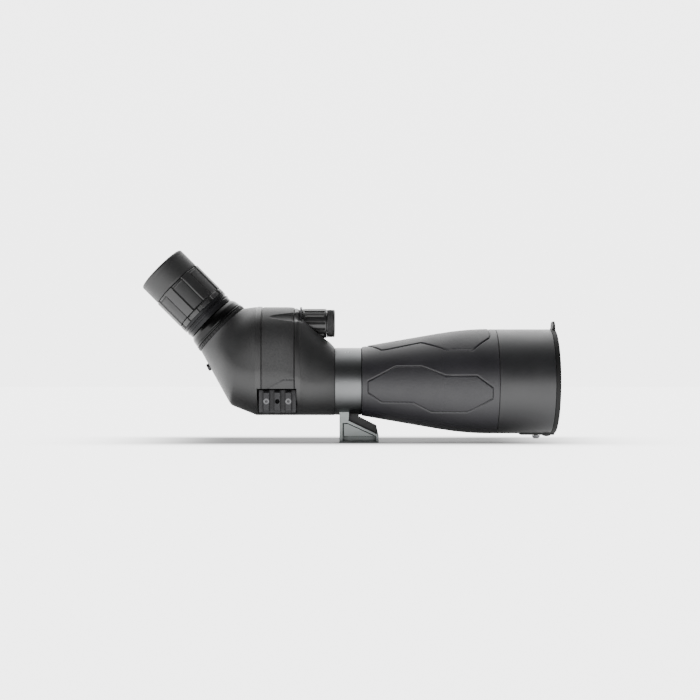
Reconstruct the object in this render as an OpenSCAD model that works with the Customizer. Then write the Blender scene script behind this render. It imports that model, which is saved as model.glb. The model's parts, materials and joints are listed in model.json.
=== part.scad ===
// Angled spotting scope with a rotating tripod collar, a two-speed focuser and a zoom eyepiece.
// +X points to the objective, +Z up. The origin is the centre of the tripod thread, on the
// bottom face of the foot. "t" is the distance along the eye axis, which leaves the fold point
// of the light path at 45 degrees, up and back.

/* [Main axis] */
// Height of the optical axis above the bottom of the foot
axis_z = 56.6; // [56.4:0.1:57]
// Outer radius of the main tube that the collar turns on
tube_r = 27.5; // [27.3:0.1:27.6]
// Wall of the main tube
tube_wall = 3; // [2:0.5:3]

/* [Tripod collar and foot] */
// Outer radius of the collar
collar_r = 31.3; // [31:0.1:31.6]
// Half of the width of the foot
foot_half = 14; // [13:0.5:15]
// Half of the width of the dark core of the foot
core_half = 9; // [8.5:0.5:9.5]
// Wall radius of the tripod thread
thread_r = 3.2; // [3.1:0.05:3.3]
// Radius of the anti-twist hole
pin_hole_r = 2.3; // [2:0.1:2.6]
// Radius of the lock knob
lock_r = 10.5; // [9:0.5:12]

/* [Barrel] */
// Outer radius at the rear end of the armour
cone_r = 32; // [31.8:0.1:32.2]
// Largest outer radius of the barrel and the sunshade
barrel_r = 48.5; // [48.4:0.1:48.8]
// Thickness of the rubber armour
armour = 2; // [1.8:0.1:2]
// Wall of the metal barrel
barrel_wall = 2; // [1.8:0.1:2]
// Clear radius of the objective
lens_r = 40.5; // [40:0.1:40.5]

/* [Sunshade and cap] */
// X of the rear edge of the sunshade when it is pushed in
hood_x0 = 127; // [127:0.1:127.4]
// X of the front edge of the sunshade when it is pushed in
hood_x1 = 177.6; // [177.2:0.1:178]
// How far the sunshade pulls out
hood_travel = 30; // [25:1:30]
// Thickness of the disc of the front cap
cap_disc = 4.4; // [4:0.1:4.6]

/* [Prism housing] */
// Wall of the prism housing
shell = 3; // [2.5:0.1:3]
// Half of the width of the housing
house_half = 41; // [40:0.5:42]
// Height of the top of the housing
house_top = 125.7; // [125.5:0.1:126]
// Height of the bottom of the housing
house_bottom = 25.1; // [25:0.1:25.3]
// Radius of the eyepiece port
port_r = 28.2; // [28.1:0.1:28.4]

/* [Focuser] */
// Height of the focus axis
focus_z = 110.5; // [110.3:0.1:110.7]
// Radius of the coarse knob
coarse_r = 13.6; // [13:0.1:14]
// Radius of the fine knob
fine_r = 12.9; // [12.5:0.1:13.2]

/* [Eyepiece] */
// Outer radius of the zoom grip
grip_r = 25.75; // [25.5:0.05:26]
// Outer radius of the rubber eyecup
cup_r = 24.9; // [24.7:0.1:25.2]
// Turn of the zoom grip in degrees
zoom_turn = 150; // [140:5:150]
// Travel of the front zoom group
zoom_up = 8; // [7:0.5:8]
// Travel of the rear zoom group
zoom_down = 6; // [5:0.5:6]

/* [Accessory rail] */
// Length of the rail
rail_len = 33.5; // [32:0.5:34]
// Spacing of the rail's lands
rail_pitch = 10.01; // [9.9:0.01:10.1]

/* [Fits] */
// Gap between pieces that are fixed together
snug = 0.02; // [0.02:0.01:0.04]
// Radial gap between pieces that run on each other
running = 0.05; // [0.04:0.01:0.08]

/* [Hidden] */

$fn = 64;
eps = 1;                       // overshoot of a cutting shape

// Collar and foot
collar_x0 = -22.3;
collar_x1 = 2.5;
foot_back = -18;
foot_front = 18.3;
bush_len = 10;
bush_r = 5.5;
pin_hole_x = 13.5;
screw_r = 1.5;
foot_screw_x = -13;
foot_screw_y = 4.5;
foot_screw_seat = 14;
foot_pocket = 1;               // depth of the sunk panel of a cheek
foot_trench = 3.2;             // depth of the trench round its plate
lock_x = -10;
lock_y = 36.5;                 // inner face of the lock knob
shoe_r = 3;
boss_r = 7;
shoe_end = 40;

// Barrel: a cone, an arc that meets it smoothly, and a short straight end
cone_x0 = 2.6;
cone_x1 = 75.7;
cone_slope = 0.1733;
flat_x0 = 121.7;
arc_r = (flat_x0 - cone_x1) / sin(atan(cone_slope));
armour_x1 = hood_x0 - 0.2;
baffle_gap = 0.25;             // glue gap round a baffle
tube_x0 = -40;
tube_x1 = 12;
nose_r = barrel_r - 2.6;
nose_x1 = hood_x0 + hood_travel + 11;
cell_x0 = nose_x1 - 20;

// Sunshade and cap
hood_in = barrel_r - 2.2;
cap_x0 = hood_x1 + 0.1;
cap_lip = 4.3;                  // how far the cap's plug reaches into the sunshade
cap_hinge_r = 49;               // hinge of the cap, below the axis
stud_x = 165;
stud_r = 2;
strap_sheet_r = barrel_r + 1.5;  // outside of the tether strap
strap_hump_x = 171.7;
strap_half = 7;
strap_x0 = 149.3;
strap_x1 = 176.9;

// Prism housing
house_x0 = -22.4;              // front face
back_x = -95;                  // last upright section
slope_rise = 1.06;             // rise of the front slope
waist_rise = 11;               // height of the widest point of the housing over the axis
waist_x0 = -42;                // where that point starts to rise
swell_len = 30;                // length over which the housing widens, and over which it rises
crown = 0.53;                  // fullness of the housing's upper half
fold_x = -78.9;
port_t = 67.7;
fan_z = axis_z + port_t * sqrt(2) + back_x - fold_x;    // where the port plane meets back_x
heel = [-119, 34.6];           // lower rear corner of the side outline
toe = [-146.6, 84.6];          // foot of the port, at the back
pocket = [-93, -57, 27, 49.9]; // rail pocket: two X, two Z
pocket_y = 27.3;
port_in = 24;                  // bore of the port
scoop_r = 17.7;                // hollow round the coarse knob
button_r = 3.5;

// Focuser
bush_x0 = -60;
bush_out = 9;
knob_neck_r = 5;               // sleeve of the coarse knob, inside the bush
scoop_x = -54.7;
coarse_x0 = -52.4;
coarse_x1 = -30;
lead_r = 4.5;
neck_r = 3.5;
rod_r = 1.5;
rod_y = 12;
rod_z = 98;
cell_r = 22;                   // cell of the focusing lens
focus_lens_r = 20;

// Eyepiece stations
body_r = 20.5;
body_in = 17.5;
sleeve_r = 22.5;
grip_t0 = 92.2;
grip_t1 = 127;
cup_t0 = 127.5;
cup_t1 = 148.5;
pin_r = 1.2;
front_pin_t = 98;
rear_pin_t = 120;
cell_in = 14.5;                // bore of a zoom cell
guide_r = 22;                  // outside of the eyecup's guide
cup_sleeve_r = 23.4;
cup_shelf_t = 143;             // inner shelf of the eyecup

// Rail
rail_x = -74.4;
rail_z = 38.4;
rail_base = 27;
rail_screw_r = 1.6;
rail_head_r = 2.6;
rail_top = 36.4;

// ---- helpers ----

// Puts a shape drawn along +Z on the optical axis, from x towards the objective.
module on_axis(x = 0) translate([x, 0, axis_z]) rotate([0, 90, 0]) children();

// The same for the focus axis.
module on_focus(x = 0) translate([x, 0, focus_z]) rotate([0, 90, 0]) children();

// Local frame of the eyepiece: +Z runs out along the eye axis.
module on_eye(t = 0) {
    translate([fold_x, 0, axis_z]) rotate([0, -45, 0]) translate([0, 0, t]) children();
}

// Draws along +Y, for the lock screw on the far side of the collar.
module on_lock(y = 0) translate([lock_x, y, axis_z]) rotate([-90, 0, 0]) children();

// A flat outline in X and Z, extruded from y0 to y1.
module across(y0, y1) translate([0, y1, 0]) rotate([90, 0, 0]) linear_extrude(y1 - y0) children();

module ring(r_out, r_in, length) {
    rotate_extrude() translate([r_in, 0]) square([r_out - r_in, length]);
}

// A ring with small chamfers on its two outer edges.
module bevel_ring(r_out, r_in, length, edge = 0.5) {
    rotate_extrude() polygon([[r_in, 0], [r_out - edge, 0], [r_out, edge],
        [r_out, length - edge], [r_out - edge, length], [r_in, length]]);
}

// A turned lens between z0 and z1 at its edge. A positive sag bulges outwards.
module lens(r, z0, z1, sag0, sag1, steps = 8) {
    rotate_extrude() polygon(concat(
        [for (i = [0:steps]) let (q = i / steps) [q * r, z1 + sag1 * (1 - q * q)]],
        [for (i = [0:steps]) let (q = 1 - i / steps) [q * r, z0 - sag0 * (1 - q * q)]]));
}

// Grooves of radius g, evenly round an axis at radius r.
module grooves(n, r, g, length) {
    for (i = [0:n - 1]) rotate([0, 0, 360 * i / n]) translate([r, 0, 0]) cylinder(r = g, h = length);
}

function barrel_radius(x) = x < cone_x1 ? cone_r + cone_slope * (x - cone_x0)
    : x < flat_x0 ? barrel_r - arc_r + sqrt(arc_r * arc_r - (flat_x0 - x) * (flat_x0 - x))
    : barrel_r;

// Stations along the barrel where its outline needs a point.
function barrel_stations(x0, x1) = concat([x0, cone_x1],
    [for (i = [1:8]) cone_x1 + (flat_x0 - cone_x1) * i / 8], [x1]);

// Outline of the barrel from x0 to x1, inset by d.
function barrel_line(x0, x1, d) = [for (x = barrel_stations(x0, x1)) [barrel_radius(x) - d, x]];

function reversed(list) = [for (i = [len(list) - 1:-1:0]) list[i]];

// ---- tripod collar and foot ----

module foot_screw_places(z) {
    for (s = [-1, 1]) translate([foot_screw_x, s * foot_screw_y, z]) children();
}

module collar_ring() color("dimgray") difference() {
    union() {
        on_axis(collar_x0) bevel_ring(collar_r, tube_r + running, collar_x1 - collar_x0);
        difference() {
            on_lock(collar_r - 3) cylinder(r = boss_r, h = 7.7);
            on_axis(collar_x0) cylinder(r = collar_r - 1, h = collar_x1 - collar_x0);
        }
    }
    on_lock(tube_r - 2) cylinder(r = shoe_r + running, h = 14);
    foot_screw_places(20) cylinder(r = screw_r + snug, h = 12);
}

module foot_outline() polygon([[foot_back, 0], [18.1, 0], [18.1, 7.5], [16.3, 15.9], [0, 24.1],
    [0, 28], [foot_back, 28]]);

module foot_body() color([0.08, 0.08, 0.085]) difference() {
    across(-core_half, core_half) foot_outline();
    on_axis(-40) cylinder(r = collar_r + snug, h = 80);
    translate([0, 0, -eps]) cylinder(r = bush_r + snug, h = bush_len + eps);
    translate([pin_hole_x, 0, -eps]) cylinder(r = pin_hole_r, h = 6 + eps);
    foot_screw_places(-eps) cylinder(r = 3, h = foot_screw_seat + 3 + eps);
    foot_screw_places(10) cylinder(r = screw_r + snug, h = 20);
}

module cheek_outline() polygon([[foot_back, 0], [foot_front, 0], [foot_front, 7.2], [16.8, 7.6],
    [-10, 20.3], [-9.4, 22], [-9.3, 28.3], [foot_back, 28.3]]);

module cheek_pocket() polygon([[-15.1, 1.2], [16.1, 1.2], [16.1, 6.1], [-10.5, 18.3], [-15.1, 18.3]]);

// Light plate on the floor of the panel, with a deeper trench left round it.
module cheek_plate() polygon([[-13.8, 6.3], [13.5, 6.3], [-10.3, 17.2], [-13.8, 17.2]]);

// One light side plate, drawn on +Y: a sunk panel with a trench along its edges.
module foot_cheek() difference() {
    across(core_half + snug, foot_half) cheek_outline();
    across(foot_half - foot_pocket, foot_half + eps) cheek_pocket();
    across(foot_half - foot_trench, foot_half + eps) difference() {
        cheek_pocket();
        cheek_plate();
    }
    on_axis(-40) cylinder(r = collar_r + snug, h = 80);
}

module foot_cheek_near() color([0.55, 0.57, 0.56]) mirror([0, 1, 0]) foot_cheek();

module foot_cheek_far() color([0.55, 0.57, 0.56]) foot_cheek();

module tripod_bush() color("silver") ring(bush_r, thread_r, bush_len);

module foot_screws() color("silver") foot_screw_places(foot_screw_seat) difference() {
    union() {
        cylinder(r = 2.75, h = 3);
        cylinder(r = screw_r, h = 14.4);
    }
    translate([0, 0, -eps]) cylinder(r = 1.25, h = 1.5 + eps, $fn = 6);
}

// The stem slides in the collar's boss and presses on the main tube.
module brake_shoe() color("goldenrod") on_lock(tube_r + 0.03) {
    cylinder(r = shoe_r, h = shoe_end - tube_r);
}

module lock_knob() color([0.09, 0.09, 0.1]) on_lock(lock_y) difference() {
    bevel_ring(lock_r, shoe_r + snug, 13.5, 1.2);
    translate([0, 0, 2.5]) grooves(8, lock_r + 1.4, 2.6, 20);
    translate([0, 0, 11]) cylinder(r = 6, h = 5);
}

// ---- main tube, barrel and objective ----

module main_tube() color([0.1, 0.1, 0.11]) on_axis(tube_x0) {
    ring(tube_r, tube_r - tube_wall, tube_x1 - tube_x0);
}

module barrel_tube() color([0.2, 0.2, 0.21]) on_axis() rotate_extrude() polygon(concat(
    barrel_line(cone_x0 + 0.2, armour_x1 - 0.5, armour + snug),
    [[nose_r, armour_x1 - 0.5], [nose_r, nose_x1 - 6], [nose_r - 0.9, nose_x1 - 6],
     [nose_r - 0.9, nose_x1 - 2], [nose_r, nose_x1 - 2], [nose_r, nose_x1],
     [nose_r - barrel_wall, nose_x1], [nose_r - barrel_wall, armour_x1 - 0.5]],
    reversed(barrel_line(tube_x1, flat_x0, armour + barrel_wall)),
    [[tube_r + snug, tube_x1], [tube_r + snug, cone_x0 + 0.2]]));

module barrel_armour() color([0.13, 0.13, 0.14]) on_axis() rotate_extrude() polygon(concat(
    barrel_line(cone_x0, armour_x1, 0), reversed(barrel_line(cone_x0, armour_x1, armour))));

module objective_cell() color([0.15, 0.15, 0.16]) on_axis() rotate_extrude() polygon([
    [lens_r - 1.5, cell_x0], [nose_r - barrel_wall - snug, cell_x0],
    [nose_r - barrel_wall - snug, cell_x0 + 6], [nose_r - 3.7, cell_x0 + 6],
    [nose_r - 3.7, cell_x0 + 7.7], [nose_r - barrel_wall - snug, cell_x0 + 7.7],
    [nose_r - barrel_wall - snug, cell_x0 + 19], [lens_r + snug, cell_x0 + 19],
    [lens_r + snug, cell_x0 + 2], [lens_r - 1.5, cell_x0 + 2]]);

module objective_flint() color([0.6, 0.75, 0.7, 0.5]) on_axis() {
    lens(lens_r, cell_x0 + 2.02, cell_x0 + 7.5, 0, -2.4);
}

module objective_crown() color([0.55, 0.75, 0.8, 0.5]) on_axis() {
    lens(lens_r, cell_x0 + 7.6, cell_x0 + 13, 2.3, 3.2);
}

module objective_retainer() color([0.08, 0.08, 0.08]) on_axis(cell_x0 + 13.4) difference() {
    ring(lens_r, lens_r - 2.2, 3);
    for (a = [0, 180]) rotate([0, 0, a]) translate([lens_r - 2.5, -1, 1.8]) cube([3, 2, 2]);
}

module cell_o_ring() color("black") on_axis(cell_x0 + 6.85) {
    rotate_extrude() translate([nose_r - 2.85, 0]) circle(r = 0.75, $fn = 24);
}

module baffles() color([0.05, 0.05, 0.05]) for (x = [36, 66, 96]) {
    on_axis(x) ring(barrel_radius(x) - armour - barrel_wall - baffle_gap, barrel_radius(x) - 11, 1);
}

// ---- sunshade and front cap ----

module hood_ring() color("black") on_axis(nose_x1 - 5.9) ring(hood_in - 0.05, nose_r - 0.88, 3.8);

module sunshade() color([0.14, 0.14, 0.15]) difference() {
    on_axis() rotate_extrude() polygon([
        [nose_r + running, hood_x0], [barrel_r - 0.4, hood_x0], [barrel_r, hood_x0 + 0.4],
        [barrel_r, hood_x1 - 0.6], [barrel_r - 0.6, hood_x1], [hood_in, hood_x1],
        [hood_in, hood_x0 + 4], [nose_r + running, hood_x0 + 4]]);
    translate([stud_x, 0, axis_z - barrel_r - eps]) cylinder(r = stud_r + snug, h = 6);
}

module tether_stud() color("gray") translate([stud_x, 0, axis_z - barrel_r]) {
    translate([0, 0, -4.7]) cylinder(r = 4.7, h = 3.1);
    translate([0, 0, -2]) cylinder(r = stud_r, h = 3.9);
}

// Rubber strap that is bent round the underside of the sunshade, with a thick hinge end.
module tether_strap() color([0.06, 0.06, 0.06]) difference() {
    intersection() {
        union() {
            on_axis(strap_x0) ring(strap_sheet_r, barrel_r + snug, strap_x1 - strap_x0);
            on_axis(strap_hump_x) ring(strap_sheet_r + 1.1, barrel_r + snug, strap_x1 - strap_hump_x);
        }
        translate([140, -strap_half, -10]) cube([50, 2 * strap_half, 40]);
    }
    translate([stud_x, 0, 0]) cylinder(r = stud_r + snug, h = 20);
}

module front_cap() color([0.05, 0.05, 0.05]) {
    on_axis() rotate_extrude() polygon([
        [0, cap_x0], [hood_in - 2.2, cap_x0], [hood_in - 2.2, cap_x0 - cap_lip],
        [hood_in - 0.7, cap_x0 - cap_lip],
        [hood_in - 0.5, cap_x0], [barrel_r, cap_x0], [barrel_r, cap_x0 + cap_disc - 0.7],
        [barrel_r - 0.7, cap_x0 + cap_disc], [barrel_r - 6, cap_x0 + cap_disc],
        [barrel_r - 7, cap_x0 + cap_disc - 0.8], [0, cap_x0 + cap_disc - 0.8]]);
    translate([cap_x0 + 2.2, -9, axis_z + barrel_r - 2]) cube([cap_disc - 2.4, 18, 9.2]);
    translate([cap_x0 + 0.2, -6, axis_z - cap_hinge_r - 0.3]) cube([2.2, 12, 2.8]);
}

// ---- prism housing ----

// One closed section: the widest point p (x, z), the unit direction u that is up in its plane,
// the half width a, and its heights up and down. Its upper half is as full as the power k makes
// it: 1 is an ellipse, less is a flatter top with rounder shoulders. A list of n points.
function section(p, u, a, up, down, k, n) = [for (i = [0:n - 1]) let (
    c = cos(360 * i / n), h = c > 0 ? up * pow(c, k) : down * c)
    [p[0] + u[0] * h, a * sin(360 * i / n), p[1] + u[1] * h]];

// Height of the top of the housing over the axis at x: the front slope, rounded into the flat.
function top_over_axis(x) = let (
    rise = collar_r + 0.2 + slope_rise * (house_x0 - x), flat = house_top - axis_z, k = 3)
    -k * ln(exp(-rise / k) + exp(-flat / k));

// Half of the width at x: it swells from the collar's size to the full housing.
function half_at(x) = let (q = min(1, (house_x0 - x) / swell_len))
    collar_r + (house_half - collar_r) * q * (2 - q);

// 0 up to waist_x0, 1 from swell_len behind it, smoothly between; the height of the widest
// point over the axis follows it.
function blend_at(x) = let (q = max(0, min(1, (waist_x0 - x) / swell_len))) q * q * (3 - 2 * q);
function waist_at(x) = waist_rise * blend_at(x);

// Distance from the fan's pivot down to the outline, along a ray turned back by a.
function ray(a, p, q) = let (
    pivot = [back_x, fan_z], d = [-sin(a), -cos(a)], e = q - p, w = p - pivot)
    (w[0] * e[1] - w[1] * e[0]) / (d[0] * e[1] - d[1] * e[0]);

function upright_section(x, inset, n) = section([x, axis_z + waist_at(x)], [0, 1],
    half_at(x) - inset, top_over_axis(x) - waist_at(x) - inset * 1.3,
    axis_z + waist_at(x) - house_bottom - inset, 1 - (1 - crown) * blend_at(x), n);

// A section of the fan, turned back by a from upright: it ends as the circle of the port.
function fan_section(a, inset, n) = let (
    q = a / 45, ease = q * q * (3 - 2 * q),
    corner = atan((back_x - heel[0]) / (fan_z - heel[1])),
    low = a < corner ? ray(a, [back_x, house_bottom], heel) : ray(a, heel, toe),
    high = (fan_z - house_top) / cos(a) + 1.7 * q * q,
    middle = (fan_z - axis_z - waist_rise) * (1 - ease) + (low + high) / 2 * ease,
    d = [-sin(a), -cos(a)],
    p = [back_x, fan_z] + d * middle + [-d[1], d[0]] * inset * q)
    section(p, -d, house_half + (port_r - house_half) * ease - inset, middle - high - inset,
        low - middle - inset, crown + (1 - crown) * ease, n);

// Skin through a list of sections with n points each.
module skin(sections, n) {
    last = len(sections) - 1;
    sides = [for (s = [0:last - 1], i = [0:n - 1]) let (
        a = s * n + i, b = s * n + (i + 1) % n) each [[a, b + n, b], [a, a + n, b + n]]];
    ends = [[for (i = [0:n - 1]) i], [for (i = [n - 1:-1:0]) last * n + i]];
    polyhedron([for (s = sections) each s], concat(sides, ends), convexity = 6);
}

module housing_outside() skin(concat(
    [for (x = [house_x0, -29, -36, -43, -50, -56, -60, -66, -80, back_x]) upright_section(x, 0, 40)],
    [for (a = [5, 10, 14, 18, 23, 30, 37, 45]) fan_section(a, 0, 40)]), 40);

module housing_inside() skin(concat(
    [for (x = [house_x0 - shell - 2, -36, -46, -56, -62, back_x]) upright_section(x, shell, 28)],
    [for (a = [10, 15, 25, 35, 45]) fan_section(a, shell, 28)]), 28);

// The far end of the button's bore, on the sloping back of the housing.
module on_button(depth = 0) {
    translate([-138.8, 0, 70.2]) rotate([0, -118, 0]) translate([0, 0, -depth]) children();
}

module prism_housing() color([0.13, 0.13, 0.14]) difference() {
    union() {
        difference() {
            housing_outside();
            difference() {
                housing_inside();
                on_focus(scoop_x - shell) cylinder(r = scoop_r + shell + 0.3, h = 60);
                translate([pocket[0] - 2, -50, pocket[2] - 2]) {
                    cube([pocket[1] - pocket[0] + 4, 50 - pocket_y + 2.5, pocket[3] - pocket[2] + 4]);
                }
            }
        }
        on_axis(tube_x0) cylinder(r = tube_r + 2.5, h = house_x0 - tube_x0 - 1);
        intersection() {
            on_button(10) cylinder(r = button_r + 2.5, h = 9);
            housing_outside();
        }
    }
    on_axis(tube_x0 - 20) cylinder(r = tube_r + snug, h = 60);
    on_focus(scoop_x) cylinder(r = scoop_r, h = 60);
    on_focus(bush_x0 - eps) cylinder(r = bush_out + snug, h = 20);
    translate([pocket[0], -50, pocket[2]]) {
        cube([pocket[1] - pocket[0], 50 - pocket_y, pocket[3] - pocket[2]]);
    }
    on_eye(55) cylinder(r = port_in + snug, h = 30);
    on_button(20) cylinder(r = button_r + running, h = 30);
    for (s = [-1, 1]) translate([-57.9, s * rod_y, rod_z]) rotate([0, 90, 0]) {
        cylinder(r = rod_r + snug, h = 2);
    }
    rail_screw_places(20) cylinder(r = rail_screw_r + snug, h = 10);
    prism_screw_places() translate([0, 0, -3]) cylinder(r = screw_r + snug, h = 5.5);
}

module release_button() color([0.3, 0.3, 0.32]) on_button() difference() {
    translate([0, 0, -5.5]) union() {
        cylinder(r = button_r, h = 7.2);
        translate([0, 0, 7.2]) cylinder(r1 = button_r, r2 = button_r - 0.6, h = 0.6);
    }
    translate([0, 0, -6.5]) cylinder(r = 2.4, h = 5);
}

module button_seat() color("silver") on_button(10) cylinder(r = button_r, h = 2);

// Drawn at its pressed length, so it meets nothing at either end of the button's travel.
module button_spring() color("silver") on_button(8) for (i = [0:3]) {
    translate([0, 0, 0.35 + i * 1.1]) rotate_extrude() translate([1.9, 0]) circle(r = 0.3, $fn = 16);
}

module rail_screw_places(y) {
    for (s = [-1, 1]) translate([rail_x + s * rail_pitch, -y, rail_z]) rotate([90, 0, 0]) children();
}

// Lands and slots of a cross-slotted rail, on the near side of the housing.
module accessory_rail() color([0.1, 0.1, 0.1]) difference() {
    translate([rail_x - rail_len / 2, -pocket_y - snug, rail_z]) rotate([0, 90, 0]) {
        linear_extrude(rail_len) polygon([[7.8, 0], [7.8, -3.8], [10.6, -6.6], [7.8, -9.1],
            [-7.8, -9.1], [-10.6, -6.6], [-7.8, -3.8], [-7.8, 0]]);
    }
    for (i = [-2:1]) translate([rail_x + (i + 0.5) * rail_pitch - 2.615, -rail_top - eps, rail_z - 15]) {
        cube([5.23, 3 + eps, 30]);
    }
    rail_screw_places(rail_base - 2) cylinder(r = rail_screw_r + snug, h = 12);
    rail_screw_places(rail_top - 3.5) cylinder(r = rail_head_r + snug, h = 6);
    translate([rail_x, -rail_top + 5, rail_z]) rotate([90, 0, 0]) cylinder(r = 2.2, h = 8);
}

module rail_screws() color("dimgray") rail_screw_places(rail_top - 3.4) difference() {
    union() {
        cylinder(r = rail_head_r, h = 3);
        translate([0, 0, 3.4 - rail_top + 23]) cylinder(r = rail_screw_r, h = rail_top - 26);
    }
    translate([0, 0, 1.4]) cylinder(r = 1.5, h = 3, $fn = 6);
}

// ---- prism and its mount ----

prism_top = 89.5;
prism_side = 52;
prism_half = 16;
prism_post_x = -81;
prism_face = -70;
prism_tip = [prism_face - prism_side * sqrt(0.5), prism_top - prism_side * sqrt(0.5)];
plate_gap = 0.05;              // between the prism and each side plate of its cradle
plate = 2;
strap_width = 2.3;
strap_sheet = 0.8;
strap_out = prism_half + plate_gap + plate + 0.05 + strap_sheet;

module prism_outline() polygon([[prism_face, prism_top], [prism_face, prism_top - prism_side],
    prism_tip]);

module roof_prism() color([0.7, 0.85, 0.85, 0.5]) across(-prism_half, prism_half) prism_outline();

// Two side plates, a bridge below the roof edge and a post that stands on the housing's floor.
module prism_cradle() color([0.25, 0.25, 0.26]) {
    for (y = [-prism_half - plate_gap - plate, prism_half + plate_gap]) across(y, y + plate) difference() {
        polygon([[-66, 92], [-66, 36.5], [-70, 36.5], [-108, 48], [-110.5, 50.5], [-71, 92]]);
        translate([-82, 60]) circle(r = 8);
    }
    across(-prism_half - 0.1, prism_half + 0.1) {
        polygon([[-70, 37.2], [-70, 34.2], [-108, 48], [-110.5, 50.5], prism_tip - [0, 0.3]]);
    }
    difference() {
        translate([prism_post_x - 3, -9, 30]) cube([6, 18, 9.2]);
        prism_screw_places() cylinder(r = screw_r + snug, h = 8);
    }
}

module prism_screw_places() for (s = [-1, 1]) translate([prism_post_x, s * 6, 27]) children();

module prism_screws() color("silver") prism_screw_places() cylinder(r = screw_r, h = 6.6);

module prism_strap() color("silver") {
    across(-strap_out, strap_out) translate([-71, prism_top + 2.6]) square([strap_width, strap_sheet]);
    for (y = [-strap_out, strap_out - strap_sheet]) translate([-71, y, prism_top - 12]) {
        cube([strap_width, strap_sheet, 14.6 + strap_sheet]);
    }
}

// ---- focuser ----

module guide_rods() color("silver") for (s = [-1, 1]) {
    translate([-94, s * rod_y, rod_z]) rotate([0, 90, 0]) cylinder(r = rod_r, h = 38);
}

module focus_bush() color([0.06, 0.06, 0.06]) {
    on_focus(scoop_x + snug) ring(15.3, knob_neck_r + running, 2);
    on_focus(bush_x0) ring(bush_out, knob_neck_r + running, scoop_x - bush_x0 + 0.5);
}

module coarse_knob() color([0.08, 0.08, 0.09]) {
    on_focus(coarse_x0) difference() {
        bevel_ring(coarse_r, neck_r + running, coarse_x1 - coarse_x0, 0.8);
        translate([0, 0, coarse_x1 - coarse_x0 - 14]) cylinder(r = 8.2, h = 20);
        translate([0, 0, 3]) grooves(14, coarse_r + 0.6, 1.5, 16);
    }
    on_focus(bush_x0) ring(knob_neck_r, neck_r + running, coarse_x0 - bush_x0 + 0.5);
}

module fine_knob() color([0.07, 0.07, 0.08]) {
    on_focus(coarse_x1 + 0.2) difference() {
        rotate_extrude() polygon([[0, 0], [fine_r - 0.4, 0], [fine_r, 0.4], [fine_r, 6.4],
            [fine_r - 1.2, 7.7], [0, 7.7]]);
        translate([0, 0, 1.2]) grooves(40, fine_r + 0.1, 0.45, 4.6);
    }
    on_focus(coarse_x1 - 10) cylinder(r = 3.1, h = 10.5);
}

module lead_screw() color("silver") {
    on_focus(coarse_x1 - 13.9) cylinder(r = 8, h = 2.9);
    on_focus(-61) cylinder(r = neck_r, h = 17.5);
    on_focus(-96) difference() {
        cylinder(r = lead_r, h = 35.2);
        for (i = [0:13]) translate([0, 0, 3 + 2.2 * i]) ring(lead_r + 1, lead_r - 0.4, 0.7);
    }
}

module reduction_balls() color("silver") on_focus(coarse_x1 - 8.4) {
    for (i = [0:3]) rotate([0, 0, 90 * i + 45]) translate([5.6, 0, 0]) sphere(r = 2.4, $fn = 24);
}

// Nut, arm and lens cell that move along the axis together.
module focus_carriage() color([0.2, 0.2, 0.21]) difference() {
    union() {
        translate([-84, -8, 94]) cube([14, 16, 24]);
        translate([-84, -15, 94]) cube([17, 30, 7.4]);
        translate([-68, -7, 77.5]) cube([3, 14, 23.9]);
        on_axis(-62.5) cylinder(r = cell_r, h = 17.5);
        translate([-68, -7, 76]) cube([9, 14, 3.5]);
    }
    on_focus(-90) cylinder(r = lead_r + running, h = 26);
    for (s = [-1, 1]) translate([-90, s * rod_y, rod_z]) rotate([0, 90, 0]) {
        cylinder(r = rod_r + running, h = 40);
    }
    on_axis(-70) cylinder(r = 19, h = 30);
    on_axis(-55) cylinder(r = focus_lens_r, h = 20);
}

module focus_lens() color([0.6, 0.75, 0.8, 0.5]) on_axis() {
    lens(focus_lens_r - snug, -54.9, -52.5, -1.1, -1.0);
}

// ---- eyepiece ----

module port_ring() color([0.07, 0.07, 0.07]) on_eye() difference() {
    union() {
        translate([0, 0, port_t + 0.1]) bevel_ring(28.6, 21, 3.2, 0.4);
        translate([0, 0, 60]) ring(port_in, 21, 9);
        translate([0, 0, 70]) ring(22.6, 21, 3.4);
    }
    translate([0, 0, 68.4]) grooves(48, 28.8, 0.5, 2);
}

// Waisted, glossy locking ring with a recess over the port's spigot.
module lock_ring() color([0.03, 0.03, 0.03]) on_eye() rotate_extrude() polygon([
    [23.4, 71.3], [28, 71.3], [28.4, 71.8], [28.4, 73.6], [27.2, 75.2], [26.6, 77], [26.4, 79], [26, 80.6],
    [25.2, 82], [body_r + running, 82], [body_r + running, 75], [23.4, 75]]);

module eyepiece_body() color([0.1, 0.1, 0.1]) on_eye() difference() {
    union() {
        translate([0, 0, 62]) ring(body_r, body_in, 78);
        translate([0, 0, 62]) ring(body_r + 0.45, body_in, 8);
    }
    for (a = [90, 270]) rotate([0, 0, a]) {
        guide_slot(front_pin_t, front_pin_t + zoom_up);
        guide_slot(rear_pin_t - zoom_down, rear_pin_t);
    }
}

// Straight slot that keeps a zoom pin from turning.
module guide_slot(t0, t1) {
    translate([10, -pin_r - running, t0]) cube([20, 2 * (pin_r + running), t1 - t0]);
    for (t = [t0, t1]) translate([10, 0, t]) rotate([0, 90, 0]) cylinder(r = pin_r + running, h = 20);
}

module scale_ring() color([0.12, 0.12, 0.12]) on_eye() rotate_extrude() polygon([
    [body_r + snug, 82.3], [24.8, 82.3], [24.8, 85.5], [25.4, 86], [25.4, 87.6], [24.6, 88.1],
    [24.6, 89.2], [25.6, 89.8], [25.6, 91.9], [body_r + snug, 91.9]]);

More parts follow.
